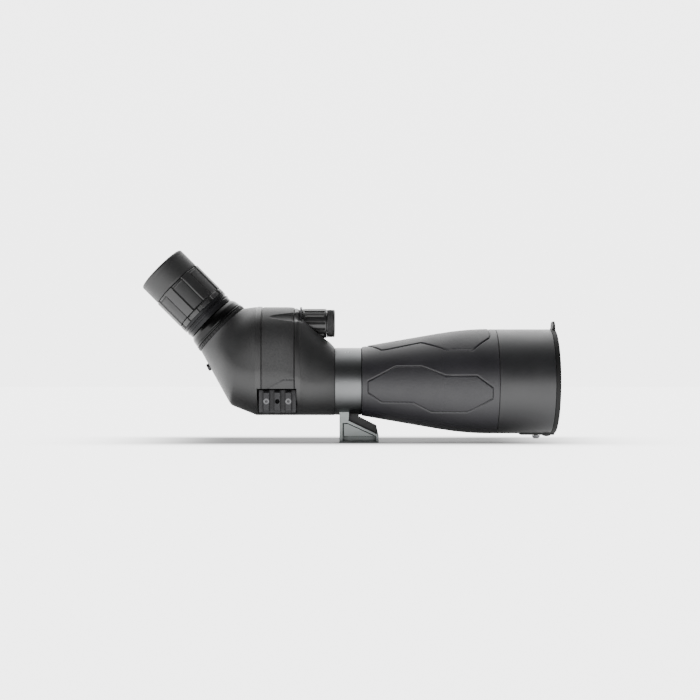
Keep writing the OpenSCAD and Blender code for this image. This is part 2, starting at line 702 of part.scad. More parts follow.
module zoom_ring() color([0.08, 0.08, 0.09]) on_eye() difference() {
    translate([0, 0, grip_t0]) bevel_ring(grip_r, sleeve_r + snug, grip_t1 - grip_t0, 0.6);
    translate([0, 0, grip_t0 + 6]) grooves(12, grip_r + 0.5, 1.4, 25);
    for (i = [0:11]) rotate([0, 0, 30 * i]) translate([grip_r - 0.9, -1.6, grip_t0 - eps]) {
        cube([3, 3.2, 4.5]);
    }
    translate([0, 0, grip_t1 - 2.6]) ring(grip_r + 1, grip_r - 0.6, 0.8);
}

// Cuts a slot that turns from angle a0 at t0 to a1 at t1, with room for the pin at its ends.
module helix_slot(a0, a1, t0, t1, steps = 20) {
    over = 5;
    slope = (t1 - t0) / (a1 - a0);
    way = a1 > a0 ? 1 : -1;
    from = a0 - way * over;
    turn = a1 - a0 + 2 * way * over;
    half = way * (pin_r + 0.15) * 1.04;
    points = [for (i = [0:steps]) let (a = from + turn * i / steps, t = t0 + (a - a0) * slope)
        for (c = [[body_r - 1, -half], [sleeve_r + 1, -half], [sleeve_r + 1, half], [body_r - 1, half]])
            [c[0] * cos(a), c[0] * sin(a), t + c[1]]];
    sides = [for (i = [0:steps - 1], k = [0:3]) let (a = 4 * i + k, b = 4 * i + (k + 1) % 4)
        each [[a, b, b + 4], [a, b + 4, a + 4]]];
    polyhedron(points, concat(sides, [[3, 2, 1, 0], [for (k = [0:3]) 4 * steps + k]]));
}

module cam_sleeve() color("goldenrod") on_eye() difference() {
    translate([0, 0, 93]) ring(sleeve_r, body_r + running, 33);
    for (a = [90, 270]) {
        helix_slot(a, a - zoom_turn, front_pin_t, front_pin_t + zoom_up);
        helix_slot(a, a - zoom_turn, rear_pin_t, rear_pin_t - zoom_down);
    }
}

module zoom_cell(pin_t) on_eye(pin_t) {
    translate([0, 0, -3]) ring(body_in - running, cell_in, 6);
    for (a = [90, 270]) rotate([0, 0, a]) translate([15, 0, 0]) rotate([0, 90, 0]) {
        cylinder(r = pin_r, h = 7.2);
    }
}

module zoom_cell_front() color([0.3, 0.3, 0.3]) zoom_cell(front_pin_t);

module zoom_cell_rear() color([0.3, 0.3, 0.3]) zoom_cell(rear_pin_t);

module zoom_lens_front() color([0.6, 0.75, 0.8, 0.5]) on_eye(front_pin_t) {
    lens(cell_in - snug, -1.5, 1.5, -0.9, -0.9);
}

module zoom_lens_rear() color([0.6, 0.75, 0.8, 0.5]) on_eye(rear_pin_t) {
    lens(cell_in - snug, -1.2, 1.2, 1.4, 1.4);
}

module field_lens() color([0.6, 0.75, 0.8, 0.5]) on_eye() lens(body_in - snug, 79, 82, 1.6, 0);

module field_stop() color("black") on_eye(87) ring(body_in - snug, 11, 1.2);

module eye_lens() color([0.5, 0.7, 0.75, 0.5]) on_eye() lens(body_in - snug, 129, 133, 1.6, 1.8);

module eye_lens_retainer() color("black") on_eye(133.5) ring(body_in - snug, 15, 3);

module eyecup_guide() color([0.25, 0.25, 0.25]) on_eye(128) ring(guide_r, body_r + running, 6);

module eyecup_sleeve() color([0.12, 0.12, 0.12]) on_eye() rotate_extrude() polygon([
    [guide_r + running, cup_t0 + 0.1], [cup_sleeve_r, cup_t0 + 0.1], [cup_sleeve_r, cup_shelf_t],
    [19.8, cup_shelf_t], [19.8, cup_shelf_t - 1.6], [guide_r + running, cup_shelf_t - 1.6]]);

module eyecup_rubber() color([0.05, 0.05, 0.05]) on_eye() rotate_extrude() polygon([
    [cup_sleeve_r + snug, cup_t0], [cup_r - 0.4, cup_t0], [cup_r, cup_t0 + 0.4], [cup_r, cup_t1 - 2],
    [cup_r - 0.6, cup_t1 - 0.7], [cup_r - 1.8, cup_t1], [20.6, cup_t1], [19.4, cup_t1 - 0.9],
    [19.2, cup_t1 - 2], [19.8, cup_shelf_t + snug],
    [cup_sleeve_r + snug, cup_shelf_t + snug]]);

collar_ring();
foot_body();
foot_cheek_near();
foot_cheek_far();
tripod_bush();
foot_screws();
brake_shoe();
lock_knob();
main_tube();
prism_housing();
accessory_rail();
rail_screws();
release_button();
button_seat();
button_spring();
port_ring();
barrel_tube();
barrel_armour();
objective_cell();
objective_crown();
objective_flint();
objective_retainer();
cell_o_ring();
baffles();
roof_prism();
prism_cradle();
prism_strap();
prism_screws();
guide_rods();
focus_bush();
coarse_knob();
fine_knob();
lead_screw();
reduction_balls();
focus_carriage();
focus_lens();
sunshade();
hood_ring();
tether_stud();
tether_strap();
front_cap();
lock_ring();
eyepiece_body();
scale_ring();
zoom_ring();
cam_sleeve();
zoom_cell_front();
zoom_lens_front();
zoom_cell_rear();
zoom_lens_rear();
field_stop();
field_lens();
eye_lens();
eye_lens_retainer();
eyecup_guide();
eyecup_sleeve();
eyecup_rubber();
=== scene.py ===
"""Looks of the angled spotting scope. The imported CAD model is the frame; this script adds the
camera, the light, the materials and the finely shaped outer pieces.

Pieces are drawn in millimetres and placed in the row frame in metres. A turned piece is drawn
round a local +Z: for the barrel that runs towards the objective, for the eyepiece up the eye
axis.
"""
import json
import math

import bmesh
import bpy
import numpy as np
from mathutils import Matrix, Vector


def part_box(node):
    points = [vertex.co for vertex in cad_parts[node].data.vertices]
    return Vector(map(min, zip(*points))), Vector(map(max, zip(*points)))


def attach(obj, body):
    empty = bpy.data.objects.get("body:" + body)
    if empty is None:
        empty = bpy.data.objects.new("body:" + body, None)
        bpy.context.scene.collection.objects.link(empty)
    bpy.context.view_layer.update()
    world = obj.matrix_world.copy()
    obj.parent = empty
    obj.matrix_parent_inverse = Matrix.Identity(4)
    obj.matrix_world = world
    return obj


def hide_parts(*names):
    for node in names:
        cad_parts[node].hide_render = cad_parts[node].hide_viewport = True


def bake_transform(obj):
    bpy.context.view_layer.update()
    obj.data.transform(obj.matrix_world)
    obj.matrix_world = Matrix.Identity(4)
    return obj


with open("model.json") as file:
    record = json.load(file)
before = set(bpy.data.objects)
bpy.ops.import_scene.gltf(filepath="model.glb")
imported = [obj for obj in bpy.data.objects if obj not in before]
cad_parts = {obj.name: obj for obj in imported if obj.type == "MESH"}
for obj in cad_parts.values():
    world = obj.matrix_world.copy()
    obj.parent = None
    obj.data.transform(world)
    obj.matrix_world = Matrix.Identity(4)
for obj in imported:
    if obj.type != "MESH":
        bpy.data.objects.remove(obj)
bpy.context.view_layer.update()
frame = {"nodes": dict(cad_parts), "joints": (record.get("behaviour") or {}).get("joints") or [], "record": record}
nodes = frame["nodes"]
MM = 0.001


def lo(node):
    return [round(v / MM, 3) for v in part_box(node)[0]]


def hi(node):
    return [round(v / MM, 3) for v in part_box(node)[1]]


def joint(name):
    return next(j for j in frame["joints"] if j["name"] == name)


# ---- sizes from the frame, in millimetres ----

AXIS_Z = (lo("main_tube")[2] + hi("main_tube")[2]) / 2
FOCUS_Z = joint("focus_coarse")["pos_m"][2] / MM
FOLD_X = joint("zoom_turn")["pos_m"][0] / MM
EYE = 45.0                                    # degrees between the barrel and the eye axis
COLLAR_R = AXIS_Z - lo("collar_ring")[2]
TUBE_R = hi("main_tube")[1]
HOUSE_X0, HOUSE_TOP = hi("prism_housing")[0], hi("prism_housing")[2]
HOUSE_BOTTOM, HOUSE_HALF = lo("prism_housing")[2], hi("prism_housing")[1]
ARMOUR_X0, ARMOUR_X1 = lo("barrel_armour")[0], hi("barrel_armour")[0]
BARREL_R = hi("barrel_armour")[1]
HOOD_X0, HOOD_X1 = lo("sunshade")[0], hi("sunshade")[0]
KNOB_HUB = 7.6                                # the coarse knob begins this far behind its grip
COARSE_X0, COARSE_X1 = lo("coarse_knob")[0] + KNOB_HUB, hi("coarse_knob")[0]
COARSE_R = hi("coarse_knob")[1]
FINE_X0, FINE_X1 = COARSE_X1 + 0.2, hi("fine_knob")[0]
FINE_R = hi("fine_knob")[1]
GRIP_R = hi("zoom_ring")[1]
CUP_R = hi("eyecup_rubber")[1]


# ---- material tools ----

def add(tree, kind, inputs=None, **settings):
    """Adds a shader node. An input is a value, or the socket that feeds it."""
    node = tree.nodes.new(kind)
    for key, value in settings.items():
        setattr(node, key, value)
    for key, value in (inputs or {}).items():
        if isinstance(value, bpy.types.NodeSocket):
            tree.links.new(value, node.inputs[key])
        else:
            node.inputs[key].default_value = value
    return node


def maths(tree, operation, a, b=0.0):
    return add(tree, "ShaderNodeMath", {0: a, 1: b}, operation=operation).outputs[0]


def ramp(tree, value, low, high, out_low=0.0, out_high=1.0):
    """Maps low..high to out_low..out_high, held at both ends."""
    return add(tree, "ShaderNodeMapRange", {0: value, 1: low, 2: high, 3: out_low, 4: out_high}).outputs[0]


def noise(tree, at, scale, detail=3.0, rough=0.5):
    return add(tree, "ShaderNodeTexNoise", {"Vector": at, "Scale": scale, "Detail": detail,
                                            "Roughness": rough}).outputs["Fac"]


def shaded(name):
    """A new material, its tree, its shader, and the row-frame position in metres."""
    material = bpy.data.materials.new(name)
    material.use_nodes = True
    tree = material.node_tree
    shader = tree.nodes["Principled BSDF"]
    at = add(tree, "ShaderNodeTexCoord").outputs["Object"]
    return material, tree, shader, at


def feed(tree, shader, **inputs):
    for key, value in inputs.items():
        key = key.replace("_", " ")
        if isinstance(value, bpy.types.NodeSocket):
            tree.links.new(value, shader.inputs[key])
        else:
            shader.inputs[key].default_value = value


def tint(tree, factor, dark, light):
    return add(tree, "ShaderNodeMix", {"Factor": factor, 6: (*dark, 1), 7: (*light, 1)},
               data_type="RGBA").outputs[2]


def bump(tree, height, strength, distance=0.0002):
    return add(tree, "ShaderNodeBump", {"Height": height, "Strength": strength,
                                        "Distance": distance}).outputs["Normal"]


def edge_wear(tree, width=0.0008):
    """1 on sharp edges, 0 on flat ground."""
    bevel = add(tree, "ShaderNodeBevel", {"Radius": width}, samples=4).outputs[0]
    normal = add(tree, "ShaderNodeNewGeometry").outputs["Normal"]
    dot = add(tree, "ShaderNodeVectorMath", {0: bevel, 1: normal}, operation="DOT_PRODUCT").outputs["Value"]
    return ramp(tree, dot, 0.97, 0.80)


def shadowed(tree, colour, reach=0.003, floor=0.12):
    """Painted shade: darkens a colour in crevices narrower than reach. Also gives the factor, with which the
    callers dim reflections there.
    """
    open_sky = add(tree, "ShaderNodeAmbientOcclusion", {"Distance": reach}, samples=6).outputs["AO"]
    factor = ramp(tree, open_sky, 0.25, 0.85, floor, 1.0)
    grey = add(tree, "ShaderNodeCombineColor", {0: factor, 1: factor, 2: factor}).outputs[0]
    return add(tree, "ShaderNodeMix", {"Factor": 1.0, 6: colour, 7: grey}, data_type="RGBA",
               blend_type="MULTIPLY").outputs[2], factor


def moulded(name, dark, light, rough, grain=2600.0, depth=0.35, shine=0.5, stipple=0.0):
    """Moulded rubber or plastic: fine grain, soft smudges, paler edges and painted shade in crevices."""
    material, tree, shader, at = shaded(name)
    smudge = noise(tree, at, 38.0, 5.0, 0.6)
    fine = noise(tree, at, grain, 2.0, 0.6)
    height = fine
    if stipple:
        cells = add(tree, "ShaderNodeTexVoronoi", {"Vector": at, "Scale": stipple},
                    feature="F1").outputs["Distance"]
        dots = ramp(tree, cells, 0.12, 0.55, 1.0, 0.0)
        height = maths(tree, "ADD", maths(tree, "MULTIPLY", fine, 0.35), dots)
    colour = tint(tree, ramp(tree, smudge, 0.3, 0.75), dark, light)
    worn = maths(tree, "MULTIPLY", edge_wear(tree), maths(tree, "MULTIPLY", fine, 0.5))
    colour = add(tree, "ShaderNodeMix", {"Factor": worn, 6: colour, 7: (*[3.2 * c for c in light], 1)},
                 data_type="RGBA").outputs[2]
    roughness = ramp(tree, smudge, 0.25, 0.8, rough - 0.05, rough + 0.06)
    # painted shade: crevices darken the colour and dim the reflections
    colour, open_sky = shadowed(tree, colour)
    feed(tree, shader, Base_Color=colour, Roughness=roughness,
         Specular_IOR_Level=maths(tree, "MULTIPLY", open_sky, shine), Normal=bump(tree, height, depth))
    return material


POLISH_BANDS = 9.0                            # per metre: bands of a metal's polish along its axis
PEEL_GRAIN, PEEL_DEPTH = 3500.0, 0.15         # orange peel of enamel


def turned_metal(name, colour, rough, place, brush=0.25, metallic=1.0, shine=0.5):
    """Metal whose polish changes in broad, faint bands along the axis of place, a local-to-row matrix; crevices
    get painted shade.
    """
    material, tree, shader, at = shaded(name)
    inverse = place.inverted()
    rows = [add(tree, "ShaderNodeVectorMath", {0: at, 1: tuple(inverse[i][:3])},
                operation="DOT_PRODUCT").outputs["Value"] for i in range(3)]
    along = maths(tree, "MULTIPLY", rows[2], POLISH_BANDS)
    across = [maths(tree, "MULTIPLY", rows[i], 0.02) for i in (0, 1)]
    spread = add(tree, "ShaderNodeCombineXYZ", {0: across[0], 1: across[1], 2: along}).outputs[0]
    streak = noise(tree, spread, 1.0, 3.0, 0.6)
    cloud = noise(tree, at, 45.0, 4.0, 0.55)
    dark = tuple(c * 0.86 for c in colour)
    paint = tint(tree, ramp(tree, cloud, 0.3, 0.7), dark, colour)
    worn = edge_wear(tree, 0.0006)
    bare = (*[min(1, 1.35 * c + 0.02) for c in colour], 1)
    paint = add(tree, "ShaderNodeMix", {"Factor": maths(tree, "MULTIPLY", worn, 0.5), 6: paint, 7: bare},
                data_type="RGBA").outputs[2]
    # painted shade: crevices darken the colour and dim the reflections
    paint, open_sky = shadowed(tree, paint, floor=0.3)
    feed(tree, shader, Base_Color=paint, Metallic=metallic,
         Specular_IOR_Level=maths(tree, "MULTIPLY", open_sky, shine),
         Roughness=ramp(tree, streak, 0.3, 0.7, rough - 0.06, rough + 0.08),
         Normal=bump(tree, streak, brush, 0.00005))
    return material


def painted(name, colour, rough, metallic=0.0, shine=0.5, reach=0.004):
    """Stove-enamelled metal: very fine orange peel, faint clouds, worn edges and painted shade in crevices."""
    material, tree, shader, at = shaded(name)
    cloud = noise(tree, at, 60.0, 5.0, 0.6)
    peel = noise(tree, at, PEEL_GRAIN, 2.0, 0.5)
    paint = tint(tree, ramp(tree, cloud, 0.3, 0.7), tuple(c * 0.88 for c in colour), colour)
    worn = maths(tree, "MULTIPLY", edge_wear(tree, 0.0005), ramp(tree, cloud, 0.35, 0.7, 0.15, 0.6))
    bare = (*[min(1, 1.5 * c + 0.05) for c in colour], 1)
    paint = add(tree, "ShaderNodeMix", {"Factor": worn, 6: paint, 7: bare}, data_type="RGBA").outputs[2]
    # painted shade: crevices darken the colour and dim the reflections
    paint, open_sky = shadowed(tree, paint, reach, 0.05)
    feed(tree, shader, Base_Color=paint, Metallic=metallic,
         Specular_IOR_Level=maths(tree, "MULTIPLY", open_sky, shine),
         Roughness=ramp(tree, cloud, 0.25, 0.75, rough - 0.04, rough + 0.06),
         Normal=bump(tree, peel, PEEL_DEPTH, 0.0001))
    return material


def coated_glass(name, glow):
    """Clear optical glass with a coloured anti-reflection coating and faint dust."""
    material, tree, shader, at = shaded(name)
    dust = ramp(tree, noise(tree, at, 900.0, 4.0, 0.7), 0.62, 0.8, 0.0, 0.05)
    facing = add(tree, "ShaderNodeLayerWeight", {"Blend": 0.35}).outputs["Facing"]
    colour = add(tree, "ShaderNodeMix", {"Factor": facing, 6: (0.9, 0.97, 0.95, 1), 7: (*glow, 1)},
                 data_type="RGBA").outputs[2]
    feed(tree, shader, Base_Color=colour, Roughness=maths(tree, "ADD", dust, 0.01), IOR=1.52,
         Transmission_Weight=0.92, Coat_Weight=0.4, Coat_Roughness=0.02)
    shader.inputs["Coat Tint"].default_value = (*glow, 1)
    return material


# ---- places ----

def place_x(z):
    """Local +Z runs along the row's +X, at height z."""
    return Matrix.Translation(Vector((0, 0, z)) * MM) @ Matrix.Rotation(math.radians(90), 4, "Y")


AXIS = place_x(AXIS_Z)
FOCUS = place_x(FOCUS_Z)
EYEPIECE = Matrix.Translation(Vector((FOLD_X, 0, AXIS_Z)) * MM) @ Matrix.Rotation(math.radians(-EYE), 4, "Y")


# ---- mesh tools ----

def mesh_object(name, verts, faces, place=None, sharp=32.0):
    """A mesh from millimetre points, smooth but for edges over the sharp angle."""
    mesh = bpy.data.meshes.new(name)
    mesh.from_pydata([tuple(v) for v in np.asarray(verts, float) * MM], [], [tuple(f) for f in faces])
    if place is not None:
        mesh.transform(place)
    obj = bpy.data.objects.new(name, mesh)
    bpy.context.scene.collection.objects.link(obj)
    finish_mesh(obj, sharp)
    return obj


def finish_mesh(obj, sharp=32.0):
    """Welds, turns faces outwards and sets smooth shading."""
    work = bmesh.new()
    work.from_mesh(obj.data)
    bmesh.ops.remove_doubles(work, verts=work.verts, dist=2e-7)
    bmesh.ops.recalc_face_normals(work, faces=work.faces)
    work.to_mesh(obj.data)
    work.free()
    obj.data.polygons.foreach_set("use_smooth", [True] * len(obj.data.polygons))
    obj.data.set_sharp_from_angle(angle=math.radians(sharp))


def grid_faces(rows, columns, close_rows=False):
    """Quads of a grid whose columns run round."""
    faces = []
    for i in range(rows if close_rows else rows - 1):
        a, b = i * columns, (i + 1) % rows * columns
        for j in range(columns):
            k = (j + 1) % columns
            faces.append((a + j, a + k, b + k, b + j))
    return faces


def rounded(points, steps=4):
    """A closed outline whose corners (x, y, radius) are turned into arcs."""
    out = []
    for i, point in enumerate(points):
        x, y, *rest = point
        radius = rest[0] if rest else 0.0
        if not radius:
            out.append((x, y))
            continue
        p = np.array([x, y], float)
        before = np.array(points[i - 1][:2], float) - p
        after = np.array(points[(i + 1) % len(points)][:2], float) - p
        u, v = before / np.linalg.norm(before), after / np.linalg.norm(after)
        half = math.acos(max(-1, min(1, float(u @ v)))) / 2
        reach = min(radius / math.tan(half), 0.49 * min(np.linalg.norm(before), np.linalg.norm(after)))
        for s in range(steps + 1):
            q = s / steps
            out.append(tuple(p + u * reach * (1 - q) ** 2 + v * reach * q ** 2))
    return out


def dense(outline, step):
    """Adds points so that no side of the closed outline is longer than step."""
    out = []
    for i, a in enumerate(outline):
        b = outline[(i + 1) % len(outline)]
        n = max(1, math.ceil(math.dist(a, b) / step))
        out += [(a[0] + (b[0] - a[0]) * k / n, a[1] + (b[1] - a[1]) * k / n) for k in range(n)]
    return out


def turned(name, outline, place, segments=160, relief=None, sharp=32.0):
    """A solid turned from a closed outline of (radius, distance along local Z).

    relief(radius, distance, angle) gives arrays of radii in its place."""
    r = np.array([p[0] for p in outline])[:, None]
    t = np.array([p[1] for p in outline])[:, None]
    angle = np.linspace(0, 2 * math.pi, segments, endpoint=False)[None, :]
    r, t, angle = np.broadcast_arrays(r, t, angle)
    if relief:
        r = relief(r, t, angle)
    verts = np.stack([r * np.cos(angle), r * np.sin(angle), t], -1).reshape(-1, 3)
    return mesh_object(name, verts, grid_faces(len(outline), segments, True), place, sharp)


def boxed(name, low, high):
    """A box between two corners, for cutting."""
    verts = [(x, y, z) for x in (low[0], high[0]) for y in (low[1], high[1]) for z in (low[2], high[2])]
    faces = [(0, 1, 3, 2), (4, 6, 7, 5), (0, 4, 5, 1), (2, 3, 7, 6), (0, 2, 6, 4), (1, 5, 7, 3)]
    return mesh_object(name, verts, faces)


def rod(name, r, t0, t1, place):
    """A plain cylinder, for cutting."""
    segments = 96
    ring = [(r * math.cos(a), r * math.sin(a)) for a in np.linspace(0, 2 * math.pi, segments, endpoint=False)]
    verts = [(x, y, t) for t in (t0, t1) for x, y in ring]
    faces = grid_faces(2, segments) + [tuple(range(segments)), tuple(range(segments, 2 * segments))]
    return mesh_object(name, verts, faces, place)


def apply_modifiers(obj):
    evaluated = obj.evaluated_get(bpy.context.evaluated_depsgraph_get())
    mesh = bpy.data.meshes.new_from_object(evaluated)
    obj.modifiers.clear()
    old, obj.data = obj.data, mesh
    mesh.name = obj.name
    bpy.data.meshes.remove(old)


def cut(obj, *cutters):
    """Takes the cutters out of obj and deletes them."""
    for cutter in cutters:
        tool = obj.modifiers.new("cut", "BOOLEAN")
        tool.operation = "DIFFERENCE"
        tool.solver = "MANIFOLD"
        tool.object = cutter
        bpy.context.view_layer.update()
        apply_modifiers(obj)
        bpy.data.objects.remove(cutter)


def soften(obj, width, segments=2):
    """Rounds the sharp edges of a piece."""
    tool = obj.modifiers.new("soft_edges", "BEVEL")
    tool.width = width * MM
    tool.segments = segments
    tool.limit_method = "ANGLE"
    tool.angle_limit = math.radians(35.0)
    tool.harden_normals = True
    tool.use_clamp_overlap = True


def dress(obj, *materials):
    obj.data.materials.clear()
    for material in materials:
        obj.data.materials.append(material)
    return obj


def stands_for(obj, node, material):
    """obj replaces a CAD node, rides on its body and takes its finish."""
    body = next(b for b, members in frame["record"]["behaviour"]["bodies"].items() if node in members)
    dress(obj, *(material if isinstance(material, (list, tuple)) else [material]))
    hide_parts(node)
    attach(obj, body)
    return obj


# ---- materials ----

MATERIALS = {
    "housing": moulded("housing_armour", (0.0072, 0.0072, 0.0074), (0.0096, 0.0096, 0.0101),
                       0.46, 2300.0, 0.30),
    "ridge": moulded("housing_ridge", (0.0096, 0.0096, 0.0098), (0.0120, 0.0120, 0.0125), 0.36, 3200.0, 0.15),
    "band": moulded("housing_band", (0.0072, 0.0072, 0.0074), (0.0091, 0.0091, 0.0096), 0.50, 2600.0, 0.35,
                    stipple=1500.0),
    "barrel": moulded("barrel_armour", (0.0080, 0.0076, 0.0096), (0.0104, 0.0099, 0.0126),
                      0.44, 2600.0, 0.22),
    "panel": moulded("barrel_panel", (0.0084, 0.0080, 0.0101), (0.0110, 0.0105, 0.0132), 0.50, 2600.0, 0.3,
                     stipple=1300.0),
    "hood": moulded("sunshade_black", (0.0082, 0.0082, 0.0091), (0.0101, 0.0101, 0.0113), 0.40, 3600.0, 0.14),
    "rubber": moulded("soft_rubber", (0.0043, 0.0043, 0.0046), (0.0067, 0.0067, 0.0070), 0.55, 2000.0, 0.3),
    "cup": moulded("eyecup_rubber", (0.0072, 0.0072, 0.0074), (0.0096, 0.0096, 0.0098), 0.52, 2400.0, 0.25),
    "grip": moulded("grip_rubber", (0.0082, 0.0082, 0.0084), (0.0110, 0.0110, 0.0113), 0.42, 2600.0, 0.2),
    "knob": moulded("knob_black", (0.0053, 0.0053, 0.0055), (0.0077, 0.0077, 0.0079), 0.34, 3000.0, 0.15),
    "knurl": moulded("knurled_black", (0.0030, 0.0030, 0.0032), (0.0046, 0.0046, 0.0048), 0.45, 2600.0, 0.6,
                     0.2, stipple=620.0),
    # painted shade: near-black rubber for the rail pocket, where only shade falls
    "recess": moulded("recess_black", (0.0012, 0.0012, 0.0012), (0.0020, 0.0020, 0.0020),
                      0.6, 2600.0, 0.2, 0.08),
    "cap": moulded("cap_rubber", (0.0030, 0.0030, 0.0032), (0.0048, 0.0048, 0.0050), 0.6, 2400.0, 0.25, 0.22),
    "gloss": moulded("gloss_black", (0.0010, 0.0010, 0.0010), (0.0014, 0.0014, 0.0014),
                     0.18, 3600.0, 0.03, 0.2),
    "tube": turned_metal("tube_black", (0.035, 0.035, 0.037), 0.34, AXIS, 0.2, 0.4),
    "eye_metal": turned_metal("eyepiece_black", (0.012, 0.012, 0.013), 0.24, EYEPIECE, 0.2, 0.3, 0.12),
    "collar": turned_metal("collar_metal", (0.125, 0.128, 0.13), 0.32, AXIS, 0.35, 1.0),
    "rail": painted("rail_black", (0.022, 0.022, 0.024), 0.38, 0.2, 0.35),
    "core": painted("foot_core", (0.006, 0.0063, 0.0066), 0.4, 0.0, 0.3),
    # its long reach paints shade deep into the foot's trench
    "cheek": painted("foot_cheek", (0.30, 0.325, 0.32), 0.42, 0.2, reach=0.006),
    "dark_steel": turned_metal("dark_steel", (0.05, 0.05, 0.052), 0.3, AXIS, 0.2),
    "steel": turned_metal("steel", (0.56, 0.56, 0.57), 0.28, AXIS, 0.3),
    "screw": turned_metal("rail_screw_steel", (0.15, 0.15, 0.155), 0.32, AXIS, 0.2),
    "tick": painted("tick_paint", (0.34, 0.34, 0.35), 0.5),
    "rivet": turned_metal("rivet_grey", (0.24, 0.24, 0.25), 0.34, AXIS, 0.2),
    "brass": turned_metal("brass", (0.62, 0.46, 0.2), 0.3, EYEPIECE, 0.3),
    "glass": coated_glass("lens_glass", (0.25, 0.55, 0.42)),
    "eye_glass": coated_glass("eye_glass", (0.35, 0.3, 0.62)),
}

CAD_MATERIALS = {
    "collar": ["collar_ring"],
    "core": ["foot_body"],
    "cheek": ["foot_cheek_near", "foot_cheek_far"],
    "steel": ["tripod_bush", "foot_screws", "button_seat", "button_spring", "prism_strap", "prism_screws",
              "guide_rods", "lead_screw", "reduction_balls"],
    "brass": ["brake_shoe", "cam_sleeve"],
    "knob": ["lock_knob"],
    "knurl": ["port_ring"],
    "tube": ["main_tube", "barrel_tube", "objective_cell", "objective_retainer", "baffles", "prism_cradle",
             "focus_bush", "focus_carriage"],
    "eye_metal": ["eyepiece_body", "scale_ring", "zoom_cell_front", "zoom_cell_rear", "field_stop",
                  "eye_lens_retainer", "eyecup_guide", "eyecup_sleeve"],
    "rail": ["accessory_rail"],
    "dark_steel": ["release_button"],
    "screw": ["rail_screws"],
    "rivet": ["tether_stud"],
    "rubber": ["cell_o_ring", "hood_ring", "tether_strap"],
    "cap": ["front_cap"],
    "housing": ["prism_housing"],
    "barrel": ["barrel_armour"],
    "hood": ["sunshade"],
    "grip": ["zoom_ring", "coarse_knob", "fine_knob"],
    "gloss": ["lock_ring"],
    "cup": ["eyecup_rubber"],
    "glass": ["objective_crown", "objective_flint", "roof_prism", "focus_lens"],
    "eye_glass": ["zoom_lens_front", "zoom_lens_rear", "field_lens", "eye_lens"],
}
for key, members in CAD_MATERIALS.items():
    for member in members:
        dress(nodes[member], MATERIALS[key])


# ---- camera, light and floor ----

CAMERA_AT = (-0.0156, -1.42, 0.0597)
LENS = 78.4
FRAMING = (0.01143, 0.04)                     # sideways and upward shift, as a share of the width


def make_camera():
    camera = bpy.data.cameras.new("camera")
    camera.lens = LENS
    camera.sensor_width = 36
    camera.shift_x, camera.shift_y = FRAMING
    camera.clip_start = 0.02
    camera.clip_end = 30
    obj = bpy.data.objects.new("camera", camera)
    bpy.context.scene.collection.objects.link(obj)
    obj.location = CAMERA_AT
    obj.rotation_euler = (math.radians(90), 0, 0)
    bpy.context.scene.camera = obj


SHADOW_HALF_LENGTH, SHADOW_HALF_WIDTH = 0.12, 0.05
SHADOW_Y = 0.036                           # the painted shadow lies a little behind the axis
SHADOW_SOFT_X, SHADOW_SOFT_Y = 0.10, 0.048      # softness of its edges
SHADOW_DEPTH = 0.97                              # share of the glow that the painted shadow takes away
FLOOR_GLOW = 4.1


def past(tree, value, half):
    """How far the size of value goes past half, or 0."""
    return maths(tree, "MAXIMUM", maths(tree, "SUBTRACT", maths(tree, "ABSOLUTE", value), half), 0.0)


def make_floor():
    """A pale light table: it glows evenly, but for a painted soft shadow under the object."""
    rings = [0.0, 0.3, 1.0, 3.0, 9.0]
    segments = 64
    verts = [(r * math.cos(a), r * math.sin(a), 0) for r in rings
             for a in np.linspace(0, 2 * math.pi, segments, endpoint=False)]
    floor = mesh_object("floor", np.array(verts) / MM, grid_faces(len(rings), segments), sharp=60)
    material, tree, shader, at = shaded("floor")
    part = add(tree, "ShaderNodeSeparateXYZ", {0: at}).outputs
    off_y = maths(tree, "SUBTRACT", part[1], SHADOW_Y)
    far_x = maths(tree, "DIVIDE", past(tree, part[0], SHADOW_HALF_LENGTH), SHADOW_SOFT_X)
    far_y = maths(tree, "DIVIDE", past(tree, off_y, SHADOW_HALF_WIDTH), SHADOW_SOFT_Y)
    square = maths(tree, "ADD", maths(tree, "MULTIPLY", far_x, far_x), maths(tree, "MULTIPLY", far_y, far_y))
    # painted shadow: the glow is taken down in a soft patch under the object
    painted_shadow = maths(tree, "MULTIPLY", maths(tree, "EXPONENT", maths(tree, "MULTIPLY", square, -1.0)), SHADOW_DEPTH)
    glow = maths(tree, "MULTIPLY", FLOOR_GLOW, maths(tree, "SUBTRACT", 1.0, painted_shadow))
    feed(tree, shader, Base_Color=(0.06, 0.06, 0.06, 1), Roughness=0.8, Emission_Color=(1, 1, 1, 1),
         Emission_Strength=glow)
    dress(floor, material)


# Brightness of the surroundings round the barrel's axis: from the horizon behind the object, over
# the top, to the horizon behind the camera. Each stop is (degrees, brightness).
SKY = [(0, 4.2), (35, 4.6), (60, 4.6), (80, 3.1), (97, 1.3), (112, 0.35), (130, 0.10), (164, 0.10),
       (172, 0.6), (180, 1.3)]
SKY_TOP = 5.0


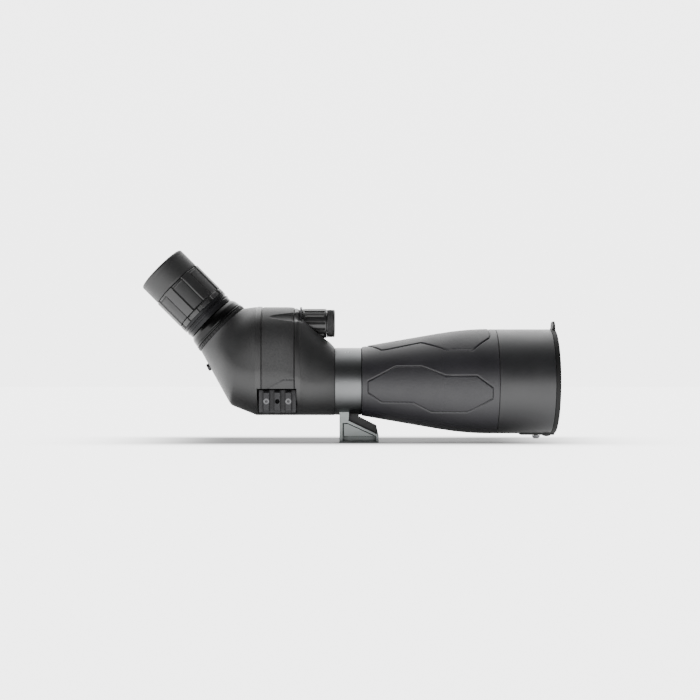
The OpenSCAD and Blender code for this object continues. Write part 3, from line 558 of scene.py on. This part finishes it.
def make_sky():
    world = bpy.data.worlds.new("studio")
    world.use_nodes = True
    bpy.context.scene.world = world
    tree = world.node_tree
    back = tree.nodes["Background"]
    aim = add(tree, "ShaderNodeTexCoord").outputs["Generated"]
    part = add(tree, "ShaderNodeSeparateXYZ", {0: aim}).outputs
    up = maths(tree, "MAXIMUM", part[2], 0.0)
    turn = maths(tree, "DIVIDE", maths(tree, "ARCTAN2", up, part[1]), math.pi)
    band = add(tree, "ShaderNodeValToRGB", {"Fac": turn})
    stops = band.color_ramp.elements
    for i, (degrees, level) in enumerate(SKY):
        stop = stops[i] if i < 2 else stops.new(degrees / 180)
        stop.position = degrees / 180
        stop.color = (*[level / SKY_TOP] * 3, 1)
    # the large soft light overhead is not as long as the room: the ends of the object see less of it
    rear = ramp(tree, maths(tree, "MULTIPLY", part[0], -1.0), 0.30, 0.75, 1.0, 0.16)
    side = maths(tree, "MINIMUM", rear, ramp(tree, part[0], 0.25, 0.55, 1.0, 0.08))
    low = ramp(tree, up, 0.10, 0.25, 1.0, 0.0)
    level = maths(tree, "MULTIPLY", band.outputs["Color"], maths(tree, "MAXIMUM", side, low))
    tree.links.new(level, back.inputs["Color"])
    back.inputs["Strength"].default_value = SKY_TOP


make_camera()
make_floor()
make_sky()


# ---- prism housing ----

SHELL = 3.0
BACK_X = -95.0                                # last upright section
SLOPE = 1.06                                  # rise of the front slope
PORT_T = 67.7                                 # port plane, along the eye axis
PORT_R = 28.2
HEEL = (-119.0, 34.6)                         # lower rear corner of the side outline
TOE = (-146.6, 84.6)                          # foot of the port
FAN_Z = AXIS_Z + PORT_T * math.sqrt(2) + BACK_X - FOLD_X
SCOOP_X = -54.7
POCKET = (-93.0, -57.0, 27.0, 49.9)           # rail pocket, in X and Z
POCKET_Y = hi("accessory_rail")[1] + 0.02
WAIST_RISE, WAIST_X0 = 11.0, -42.0            # the widest line climbs behind WAIST_X0
CROWN = 0.53                                  # below 1 the upper half is fuller than an ellipse
SWELL = 30.0                                  # length over which the housing widens
BAND = (-88.9, -59.0)                         # the two grooves of the textured band
RIDGE = 4.9                                   # width of the smooth ridge outside each groove
FIELD_Z, FIELD_TOP = 58.3, 124.0              # lower and upper end of the textured field
FIELD_BEND_X, FIELD_FALL = -69.0, 0.62        # its lower line falls behind FIELD_BEND_X
LEAF_TIP_X, LEAF_LENGTH, LEAF_Z = -81.5, 27.0, 115.5
LEAF_HALF, LEAF_DEPTH = 4.2, 2.4              # finger scoop: half height and depth at its wide end
# radii cut out of the housing
BORE = {"scoop": 17.7, "lining": 21.0, "port": 24.1, "bush": 9.1, "button": 3.6}


def soft_min(a, b, k):
    return -k * np.log(np.exp(-a / k) + np.exp(-b / k))


def upright(x, inset):
    """Widest point, up direction, half width, heights up and down and fullness of a section at x."""
    q = min(1.0, (HOUSE_X0 - x) / SWELL)
    half = COLLAR_R + (HOUSE_HALF - COLLAR_R) * q * (2 - q)
    b = min(1.0, max(0.0, (WAIST_X0 - x) / SWELL))
    b = b * b * (3 - 2 * b)
    waist = WAIST_RISE * b
    up = soft_min(COLLAR_R + 0.2 + SLOPE * (HOUSE_X0 - x), HOUSE_TOP - AXIS_Z, 2.0)
    return ((x, AXIS_Z + waist), (0.0, 1.0), half - inset, up - waist - 1.3 * inset,
            AXIS_Z + waist - HOUSE_BOTTOM - inset, 1 - (1 - CROWN) * b)


def ray(a, p, q):
    """Distance from the fan's pivot to the line pq, along a ray turned back by a."""
    dx, dz = -math.sin(a), -math.cos(a)
    ex, ez = q[0] - p[0], q[1] - p[1]
    wx, wz = p[0] - BACK_X, p[1] - FAN_Z
    return (wx * ez - wz * ex) / (dx * ez - dz * ex)


def fanned(a, inset):
    """The same for a section of the fan, turned back by a degrees: it ends as the port's circle."""
    q = a / EYE
    ease = q * q * (3 - 2 * q)
    turn = math.radians(a)
    low = min(ray(turn, (BACK_X, HOUSE_BOTTOM), HEEL), ray(turn, HEEL, TOE)) if inset else soft_min(
        ray(turn, (BACK_X, HOUSE_BOTTOM), HEEL), ray(turn, HEEL, TOE), 0.8)
    high = (FAN_Z - HOUSE_TOP) / math.cos(turn) + 1.7 * q * q
    middle = (FAN_Z - AXIS_Z - WAIST_RISE) * (1 - ease) + (low + high) / 2 * ease
    d = (-math.sin(turn), -math.cos(turn))
    p = (BACK_X + d[0] * middle - d[1] * inset * q, FAN_Z + d[1] * middle + d[0] * inset * q)
    half = HOUSE_HALF + (PORT_R - HOUSE_HALF) * ease - inset
    return p, (-d[0], -d[1]), half, middle - high - inset, low - middle - inset, CROWN + (1 - CROWN) * ease


def housing_relief(points, normals):
    """Moves the skin in and out: band grooves, ridges, the lower line of the band and finger scoops."""
    x, y, z = points.T
    lift = np.zeros(len(x))
    side = band_fade(z)
    for s, edge in ((-1, BAND[0]), (1, BAND[1])):
        d = s * (x - edge)
        lift += side * 0.55 * np.clip(1 - np.abs(d - RIDGE / 2 - 0.5) / (RIDGE / 2), 0, 1) ** 0.5
        lift -= side * 0.75 * np.exp(-(d / 0.5) ** 2)
    inside = (x > BAND[0]) & (x < BAND[1]) & (np.abs(y) > 12)
    lift -= np.where(inside, 0.5 * np.exp(-((z - field_line(x)) / 0.5) ** 2), 0)
    # leaf-shaped finger scoops behind the focus knob
    reach = np.clip((x - LEAF_TIP_X) / LEAF_LENGTH, 0, 1)
    half = LEAF_HALF * np.sqrt(reach)
    hollow = np.sqrt(np.clip(1 - ((z - LEAF_Z) / np.maximum(half, 0.01)) ** 2, 0, 1))
    lift -= np.where((x > LEAF_TIP_X) & (x < SCOOP_X + 3), LEAF_DEPTH * hollow * np.sqrt(reach), 0)
    return points + normals * lift[:, None]


def field_line(x):
    """Height of the line that closes the textured field over the rail pocket: level, then down and back."""
    return FIELD_Z + np.minimum(x - FIELD_BEND_X, 0) * FIELD_FALL


def band_fade(z):
    """1 over the sides and top of the band, fading out below the rail pocket."""
    return np.clip((z - 30) / 4, 0, 1)


def loft(name, sections, n, relief=None):
    """A closed skin through sections of n points each."""
    angle = np.linspace(0, 2 * math.pi, n, endpoint=False)
    c, s = np.cos(angle), np.sin(angle)
    rings = []
    for p, u, half, up, down, fullness in sections:
        h = np.where(c > 0, up * np.abs(c) ** fullness, down * c)
        rings.append(np.stack([p[0] + u[0] * h, half * s, p[1] + u[1] * h], -1))
    grid = np.array(rings)
    if relief:
        along = np.gradient(grid, axis=0)
        around = np.roll(grid, -1, 1) - np.roll(grid, 1, 1)
        normals = np.cross(along, around)
        normals /= np.linalg.norm(normals, axis=2, keepdims=True)
        out = np.sign(np.mean(np.sum(normals[:, n // 4] * np.array([0, 1, 0]), -1)))
        points = relief(grid.reshape(-1, 3), (normals * out).reshape(-1, 3))
        grid = points.reshape(grid.shape)
    rows = len(grid)
    faces = grid_faces(rows, n) + [tuple(range(n)), tuple(range((rows - 1) * n, rows * n))]
    return mesh_object(name, grid.reshape(-1, 3), faces)


def make_housing():
    upper = [upright(x, 0) for x in np.linspace(HOUSE_X0, BACK_X, 150)]
    fan = [fanned(a, 0) for a in np.linspace(0.4, EYE, 90)]
    housing = loft("housing_shell", upper + fan, 320, housing_relief)
    cavity = loft("cavity", [upright(x, SHELL) for x in np.linspace(HOUSE_X0 - SHELL - 2, BACK_X, 24)]
                  + [fanned(a, SHELL) for a in np.linspace(3, EYE, 14)], 64)
    cut(cavity, rod("lining", BORE["lining"], SCOOP_X - SHELL, 10, FOCUS),
        boxed("pocket_lining", (POCKET[0] - 2, -60, POCKET[2] - 2),
              (POCKET[1] + 2, POCKET_Y + 2.5, POCKET[3] + 2)))
    cut(housing, cavity, rod("scoop", BORE["scoop"], SCOOP_X, 20, FOCUS),
        boxed("pocket", (POCKET[0], -60, POCKET[2]), (POCKET[1], POCKET_Y, POCKET[3])),
        rod("tube_seat", TUBE_R + 0.1, HOUSE_X0 - 20, 20, AXIS),
        rod("port", BORE["port"], 55, 90, EYEPIECE), rod("bush_seat", BORE["bush"], SCOOP_X - 8, 0, FOCUS),
        rod("button_seat_cut", BORE["button"], -12, 12, BUTTON))
    finish_mesh(housing, 28)
    stands_for(housing, "prism_housing", [MATERIALS[key] for key in ("housing", "ridge", "band", "recess")])
    for face in housing.data.polygons:
        x, y, z = face.center / MM
        # the rail pocket's faces take the painted shade
        if y < 0 and POCKET[0] - 0.1 < x < POCKET[1] + 0.1 and POCKET[2] - 0.1 < z < POCKET[3] + 0.1:
            face.material_index = 3
            continue
        on_skin = abs(face.normal.y) > 0.2 or z > HOUSE_TOP - 14
        if not on_skin or z < 33 or x > SCOOP_X + 8:
            continue
        if BAND[0] < x < BAND[1]:
            face.material_index = 2 if field_line(x) < z < FIELD_TOP else 0
        elif BAND[0] - RIDGE - 0.5 < x < BAND[0] - 0.5 or BAND[1] + 0.5 < x < BAND[1] + RIDGE + 0.5:
            face.material_index = 1


BUTTON_AT = [(a + b) / 2 for a, b in zip(lo("release_button"), hi("release_button"))]
PRESS = Vector(joint("release_press")["axis"])
BUTTON = Matrix.Translation(Vector(BUTTON_AT) * MM) @ (-PRESS).to_track_quat("Z", "Y").to_matrix().to_4x4()

make_housing()

# ---- barrel armour ----

CONE_R, CONE_SLOPE, CONE_X1, FLAT_X0 = 32.0, 0.1733, 75.7, 121.7
SIDE_PANEL = [(8, 0), (33.4, 13.7), (56.8, 13.7), (78.5, 5), (106.2, 5), (120.6, -5.6), (120.6, -15.5),
              (103, -25.5), (97.3, -28), (65.9, -28), (48.7, -19.2), (20.7, -19.2), (8, -10.3)]
TOP_EDGE = [(7.6, 8), (20.5, 35.5), (25, 36), (56.6, 31), (79, 50.8), (103, 53.7), (119, 35.2), (120, 30)]


def barrel_radius(x):
    x = np.asarray(x, float)
    bend = (FLAT_X0 - CONE_X1) / math.sin(math.atan(CONE_SLOPE))
    arc = BARREL_R - bend + np.sqrt(np.maximum(bend ** 2 - (FLAT_X0 - x) ** 2, 0))
    cone = CONE_R + CONE_SLOPE * (x - ARMOUR_X0)
    return np.where(x < CONE_X1, cone, np.where(x < FLAT_X0, arc, BARREL_R))


def outline_distance(x, y, outline):
    """Distance from points to a closed outline, positive inside."""
    best = np.full(x.shape, 1e9)
    inside = np.zeros(x.shape, bool)
    for (ax, ay), (bx, by) in zip(outline, outline[1:] + outline[:1]):
        ex, ey = bx - ax, by - ay
        q = np.clip(((x - ax) * ex + (y - ay) * ey) / (ex * ex + ey * ey), 0, 1)
        best = np.minimum(best, np.hypot(x - ax - q * ex, y - ay - q * ey))
        crosses = (ay > y) != (by > y)
        with np.errstate(divide="ignore", invalid="ignore"):
            inside ^= crosses & (x < (bx - ax) * (y - ay) / (by - ay if by != ay else 1e-9) + ax)
    return np.where(inside, best, -best)


def panel_distance(x, angle):
    """Distance to the nearest panel's outline, positive inside a panel."""
    r = barrel_radius(x)
    height = -r * np.cos(angle)
    near_side = outline_distance(x, height, SIDE_PANEL)
    near_side = np.where(np.abs(np.sin(angle)) > 0.5, near_side, -9.0)
    from_top = np.mod(angle, 2 * math.pi) - math.pi
    edge = [(px, math.radians(pa) * float(barrel_radius(px))) for px, pa in TOP_EDGE]
    outline = edge + [(px, -py) for px, py in reversed(edge)]
    return np.maximum(near_side, outline_distance(x, from_top * r, outline))


def armour_relief(r, x, angle):
    outside = r > barrel_radius(x) - 0.6
    d = panel_distance(x, angle)
    lift = 0.30 * np.clip(d / 0.9, 0, 1) - 0.62 * np.exp(-((d + 0.1) / 0.55) ** 2)
    return np.where(outside, r + lift, r)


def make_armour():
    xs = np.linspace(ARMOUR_X0 + 0.5, ARMOUR_X1 - 0.5, 330)
    outer = [(float(barrel_radius(x)), float(x)) for x in xs]
    front = [(BARREL_R - 0.25, ARMOUR_X1 - 0.12), (BARREL_R - 0.6, ARMOUR_X1), (BARREL_R - 2, ARMOUR_X1)]
    inner = [(float(barrel_radius(x)) - 2, float(x)) for x in np.linspace(ARMOUR_X1 - 4, ARMOUR_X0, 12)]
    rear = [(CONE_R - 0.6, ARMOUR_X0), (CONE_R - 0.2, ARMOUR_X0 + 0.15)]
    armour = turned("armour_skin", outer + front + inner + rear, AXIS, 640, armour_relief)
    stands_for(armour, "barrel_armour", [MATERIALS["barrel"], MATERIALS["panel"]])
    centre = np.zeros(len(armour.data.polygons) * 3)
    armour.data.polygons.foreach_get("center", centre)
    x, y, z = (centre.reshape(-1, 3) / MM).T
    d = panel_distance(x, np.arctan2(y, -(z - AXIS_Z)))
    outside = np.hypot(y, z - AXIS_Z) > barrel_radius(x) - 1
    armour.data.polygons.foreach_set("material_index", ((d > 0.9) & outside).astype(int))


make_armour()

# ---- sunshade, cap and tether ----

def make_sunshade():
    r, nose = BARREL_R, BARREL_R - 2.55
    outline = rounded([(nose, HOOD_X0), (r, HOOD_X0, 0.5), (r, HOOD_X1, 0.7), (r - 2.2, HOOD_X1, 0.4),
                       (r - 2.2, HOOD_X0 + 4), (nose, HOOD_X0 + 4)])
    stands_for(turned("sunshade_tube", outline, AXIS, 256), "sunshade", MATERIALS["hood"])


def make_cap():
    x0, x1 = HOOD_X1 + 0.1, hi("front_cap")[0]
    plug = x0 - 4.3
    r = BARREL_R
    outline = rounded([(0.001, x0), (r - 4.4, x0), (r - 4.4, plug, 0.3), (r - 2.9, plug, 0.5), (r - 2.7, x0),
                       (r, x0, 0.4), (r, x1, 1.1), (r - 4.5, x1, 0.8), (r - 6.5, x1 - 1.1, 0.8),
                       (0.001, x1 - 1.1)])
    cap = turned("cap_disc", dense(outline, 6), AXIS, 256)
    profile = [(x1 - 3.4, r - 2.5), (x1 - 2.9, r + 0.6), (x1 - 2.5, r + 3), (x1 - 2.2, r + 6.6),
               (x1 - 1.6, r + 7.4), (x1 - 0.7, r + 7.1), (x1 - 0.3, r + 5.4), (x1 - 0.12, r + 1),
               (x1 - 0.1, r - 2.5)]
    widths = [9.5, 9.3, 9.1, 8.6, 7.6, 6.0]
    verts, faces = [], []
    spots = sorted({s * w for s in (-1, 1) for w in widths} | {0.0})
    for y in spots:
        drop = max(0.0, abs(y) - 6.0)
        for px, pz in profile:
            fall = (pz - (r - 2.5)) / 9.9
            verts.append((px, y, AXIS_Z + pz - fall * drop ** 2 * 0.22))
    n = len(profile)
    for i in range(len(spots) - 1):
        for j in range(n):
            faces.append((i * n + j, i * n + (j + 1) % n, (i + 1) * n + (j + 1) % n, (i + 1) * n + j))
    faces += [tuple(range(n)), tuple(range((len(spots) - 1) * n, len(spots) * n))]
    tab = mesh_object("cap_tab", verts, faces)
    soften(tab, 0.35, 3)
    dress(tab, MATERIALS["cap"])
    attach(tab, "front_cap")
    stands_for(cap, "front_cap", MATERIALS["cap"])


STRAP_X0, STRAP_TAPER = 149.3, 1.7            # where the strap begins, and the length of its thin end
STRAP_THICK = 1.4
LUMP_X, LUMP_HALF, LUMP_RISE = 174.5, 3.4, 1.2


def make_tether():
    """Rubber strap under the sunshade, with a hinge lump, that runs on to the cap."""
    r = BARREL_R
    x_end = hi("front_cap")[0] - 0.4
    stations = np.arange(STRAP_X0, x_end + 0.01, 0.5)
    ys = np.linspace(-7, 7, 15)
    verts = []
    for x in stations:
        lump = LUMP_RISE * max(0.0, 1 - ((x - LUMP_X) / LUMP_HALF) ** 2) ** 0.5
        thick = STRAP_THICK + lump
        if x < STRAP_X0 + STRAP_TAPER:
            thick *= 0.45 + 0.55 * (x - STRAP_X0) / STRAP_TAPER
        for side in (0, 1):
            for y in (ys if side == 0 else ys[::-1]):
                edge = 1 - max(0.0, (abs(y) - 6.2) / 0.8) * 0.5
                depth = 0.06 + (thick * edge if side == 0 else 0.0)
                rise = math.sqrt(r * r - y * y)
                verts.append((x, y, AXIS_Z - rise - depth))
    n = 2 * len(ys)
    faces = grid_faces(len(stations), n)
    faces += [tuple(range(n)), tuple(range((len(stations) - 1) * n, len(stations) * n))]
    strap = mesh_object("tether", verts, faces, sharp=50)
    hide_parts("tether_strap")
    dress(strap, MATERIALS["rubber"])
    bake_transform(strap)


def make_stud():
    """Domed rivet that holds the tether."""
    x = (lo("tether_stud")[0] + hi("tether_stud")[0]) / 2
    bottom = lo("tether_stud")[2]
    outline = rounded([(0.001, 0), (2.2, 0.1, 0.8), (3.75, 2.0, 1.2), (3.75, 3.0), (1.9, 3.0), (1.9, 6.4),
                       (0.001, 6.4)])
    place = Matrix.Translation(Vector((x, 0, bottom)) * MM)
    stands_for(turned("tether_rivet", outline, place, 64), "tether_stud", MATERIALS["rivet"])


make_sunshade()
make_cap()
make_tether()
make_stud()

# ---- tick marks of the collar ----

TICKS = [(-12.6, 1.5), (-10.0, 2.4), (-7.4, 1.5)]     # place along X, and length
TICK_UP = math.radians(57)                    # from the near side towards the top


def make_ticks():
    """Three fine painted marks, near the top of the collar's near side."""
    verts, faces = [], []
    for i, (x, height) in enumerate(TICKS):
        for r in (COLLAR_R - 0.1, COLLAR_R + 0.05):
            for dx, arc in ((-0.2, 0), (0.2, 0), (0.2, height), (-0.2, height)):
                up = TICK_UP + arc / COLLAR_R
                verts.append((x + dx, -r * math.cos(up), AXIS_Z + r * math.sin(up)))
        faces += [tuple(8 * i + k for k in quad) for quad in
                  ((0, 1, 2, 3), (7, 6, 5, 4), (0, 4, 5, 1), (1, 5, 6, 2), (2, 6, 7, 3), (3, 7, 4, 0))]
    ticks = mesh_object("collar_ticks", verts, faces)
    dress(ticks, MATERIALS["tick"])
    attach(ticks, "tripod_collar")


make_ticks()

# ---- focus knobs ----

PADS = 14
KNURLS, KNURL_PITCH = 46, 1.75                # points round the fine knob, and their pitch along it


def knob_relief(r, t, angle):
    """Raised pads, split by grooves that stop short of both rims."""
    mid = np.clip((t - COARSE_X0 - 2.2) / 0.6, 0, 1) * np.clip((COARSE_X1 - 1.6 - t) / 0.6, 0, 1)
    turn = np.mod(angle * PADS / (2 * math.pi), 1) - 0.5
    groove = np.clip(1.35 - np.abs(turn) / 0.16, 0, 1)
    outer = r > COARSE_R - 1.0
    return np.where(outer, r - 1.1 * mid * groove, r)


def knurl_relief(r, t, angle):
    """Small diamond points."""
    def saw(v):
        return np.abs(2 * np.mod(v, 1) - 1)
    u, v = angle * KNURLS / (2 * math.pi), t / KNURL_PITCH
    points = np.maximum(saw(u + v), saw(u - v))
    mid = np.clip((t - FINE_X0 - 0.7) / 0.3, 0, 1) * np.clip((FINE_X1 - 1.3 - t) / 0.3, 0, 1)
    return np.where(r > FINE_R - 0.7, r - 0.6 * mid * points, r)


def make_knobs():
    x0, x1, r = COARSE_X0, COARSE_X1, COARSE_R
    outline = rounded([(3.6, x0), (r, x0, 0.8), (r, x1, 0.6), (8.2, x1, 0.3), (8.2, x1 - 14), (3.6, x1 - 14)])
    coarse = turned("coarse_grip", dense(outline, 0.8), FOCUS, 336, knob_relief, 30)
    stands_for(coarse, "coarse_knob", MATERIALS["knob"])
    x0, x1, r = FINE_X0, FINE_X1, FINE_R
    outline = rounded([(0.001, x0), (r, x0, 0.5), (r, x1 - 0.9, 0.4), (r - 1.1, x1, 0.3), (r - 2.6, x1, 0.2),
                       (r - 3.2, x1 - 0.5, 0.2), (0.001, x1 - 0.5)])
    fine = turned("fine_grip", dense(outline, 0.22), FOCUS, 460, knurl_relief, 60)
    stands_for(fine, "fine_knob", MATERIALS["knob"])


make_knobs()

# ---- eyepiece ----

GRIP_T0, GRIP_T1 = 92.2, 127.0
RIBS = 7
RIB_AT = math.radians(-112.5)                 # local angle of the middle of the first rib
RIB_HALF = math.radians(10.5)


def rib_offset(angle):
    pitch = 2 * math.pi / RIBS
    return np.abs(np.mod(angle - RIB_AT + pitch / 2, pitch) - pitch / 2)


def grip_relief(r, t, angle):
    """Seven raised ribs with a fine line along each side, over a ring of twelve blocks."""
    outer = r > GRIP_R - 1.2
    off = (rib_offset(angle) - RIB_HALF) * GRIP_R          # below zero on a rib
    body = np.clip((t - GRIP_T0 - 5.2) / 0.5, 0, 1) * np.clip((GRIP_T1 - 2.4 - t) / 0.5, 0, 1)
    lift = -0.75 * np.clip(off / 0.7 + 0.5, 0, 1) * body
    lift -= 0.45 * np.exp(-((off - 0.7) / 0.4) ** 2) * body
    block = np.abs(np.mod((angle + math.radians(105 + 15)) / math.radians(30), 1) - 0.5) * 30
    low = np.clip((GRIP_T0 + 4.4 - t) / 0.4, 0, 1)
    lift -= 1.1 * np.clip((block - 9.5) / 1.5, 0, 1) * low
    lift -= 0.9 * np.exp(-((t - GRIP_T0 - 4.8) / 0.35) ** 2)
    top = np.clip((t - GRIP_T1 + 2.4) / 0.3, 0, 1)
    lift -= 1.0 * np.clip(off / 0.8, 0, 1) * top
    return np.where(outer, r + lift, r)


def make_grip():
    outline = rounded([(22.6, GRIP_T0), (GRIP_R, GRIP_T0, 0.4), (GRIP_R, GRIP_T1, 0.6), (22.6, GRIP_T1)])
    grip = turned("zoom_grip", dense(outline, 0.45), EYEPIECE, 560, grip_relief, 40)
    stands_for(grip, "zoom_ring", [MATERIALS["grip"], MATERIALS["rubber"]])
    inverse = EYEPIECE.inverted()
    for face in grip.data.polygons:
        x, y, t = inverse @ face.center / MM
        gap = (float(rib_offset(math.atan2(y, x))) - RIB_HALF) * GRIP_R > 0.3
        face.material_index = int(gap and GRIP_T0 + 5 < t < GRIP_T1 - 2)


def make_eyecup():
    t0, t1 = 127.5, 148.5
    outline = rounded([(23.42, t0), (CUP_R - 0.3, t0, 0.3), (CUP_R, t0 + 1.5), (CUP_R, t1, 2.2),
                       (20.4, t1, 1.6), (19.2, t1 - 2.2, 1.0), (19.8, 143.1), (23.42, 143.1)], 8)

    def fold(r, t, angle):
        return np.where(r > CUP_R - 0.5, r - 0.12 * np.exp(-((t - t1 + 4.2) / 0.5) ** 2), r)
    cup = turned("eyecup", dense(outline, 0.7), EYEPIECE, 192, fold)
    stands_for(cup, "eyecup_rubber", MATERIALS["cup"])


def make_lock_ring():
    """A broad, gently swelling band with a thin lip at its foot."""
    bore = 20.55
    outline = rounded([(23.4, 71.3), (28.4, 71.3, 0.4), (28.4, 72.5, 0.3), (27.6, 72.9, 0.2),
                       (27.8, 74.0, 0.8), (27.0, 78.4, 4.0), (25.4, 81.2, 1.6),
                       (23.2, 82.0, 0.4), (bore, 82.0), (bore, 75), (23.4, 75)], 6)
    stands_for(turned("lock_ring_skin", outline, EYEPIECE, 192), "lock_ring", MATERIALS["gloss"])


make_grip()
make_eyecup()
make_lock_ring()

# ---- edges of the CAD pieces that stay ----

for name, width in (("accessory_rail", 0.25), ("foot_body", 0.45), ("foot_cheek_near", 0.3),
                    ("foot_cheek_far", 0.3), ("collar_ring", 0.25), ("lock_knob", 0.3)):
    nodes[name].data.set_sharp_from_angle(angle=math.radians(32))
    soften(nodes[name], width)
